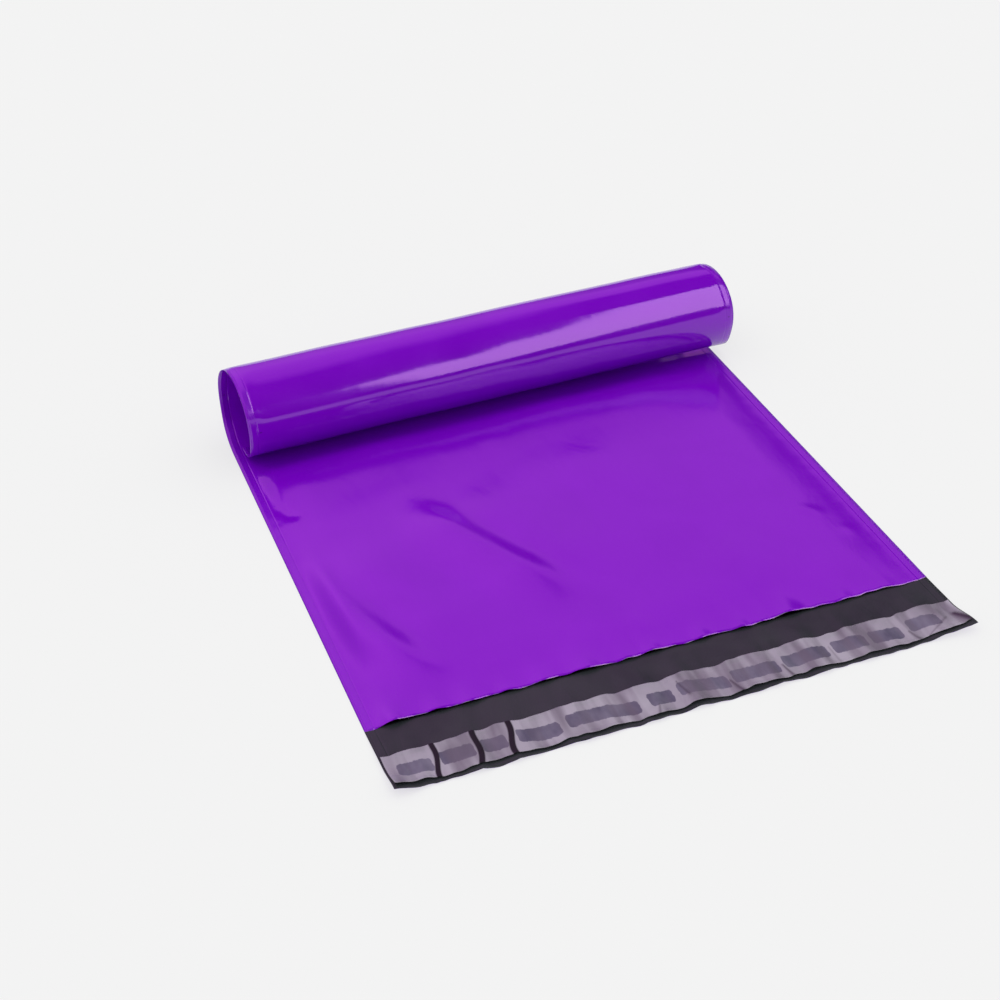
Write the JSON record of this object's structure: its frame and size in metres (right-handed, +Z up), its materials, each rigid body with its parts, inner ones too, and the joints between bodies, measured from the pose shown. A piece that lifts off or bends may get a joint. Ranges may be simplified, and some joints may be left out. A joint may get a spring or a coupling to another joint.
{
  "type": "poly mailer",
  "caption": "Flat plastic film mailing bag, open at its flap, with a peel-off liner over the adhesive and its closed end curled forwards over itself.",
  "frame": {"origin": "the middle of the flat part's underside, at floor level: half way across the width and half way between the flap's front edge and the line where the curl starts", "axes": "+X across the mailer, to the right when seen from the flap; +Y from the flap towards the closed, curled end; +Z up"},
  "size_m": [0.3107, 0.322, 0.0526],
  "materials": {
    "film": "glossy purple polyethylene film, charcoal grey on its inner face",
    "adhesive": "tacky hot-melt adhesive, clear grey",
    "liner": "translucent satin film"
  },
  "bodies": {
    "root": {"mailer_bag": "film", "adhesive_strip": "adhesive", "release_liner": "liner"}
  },
  "joints": []
}
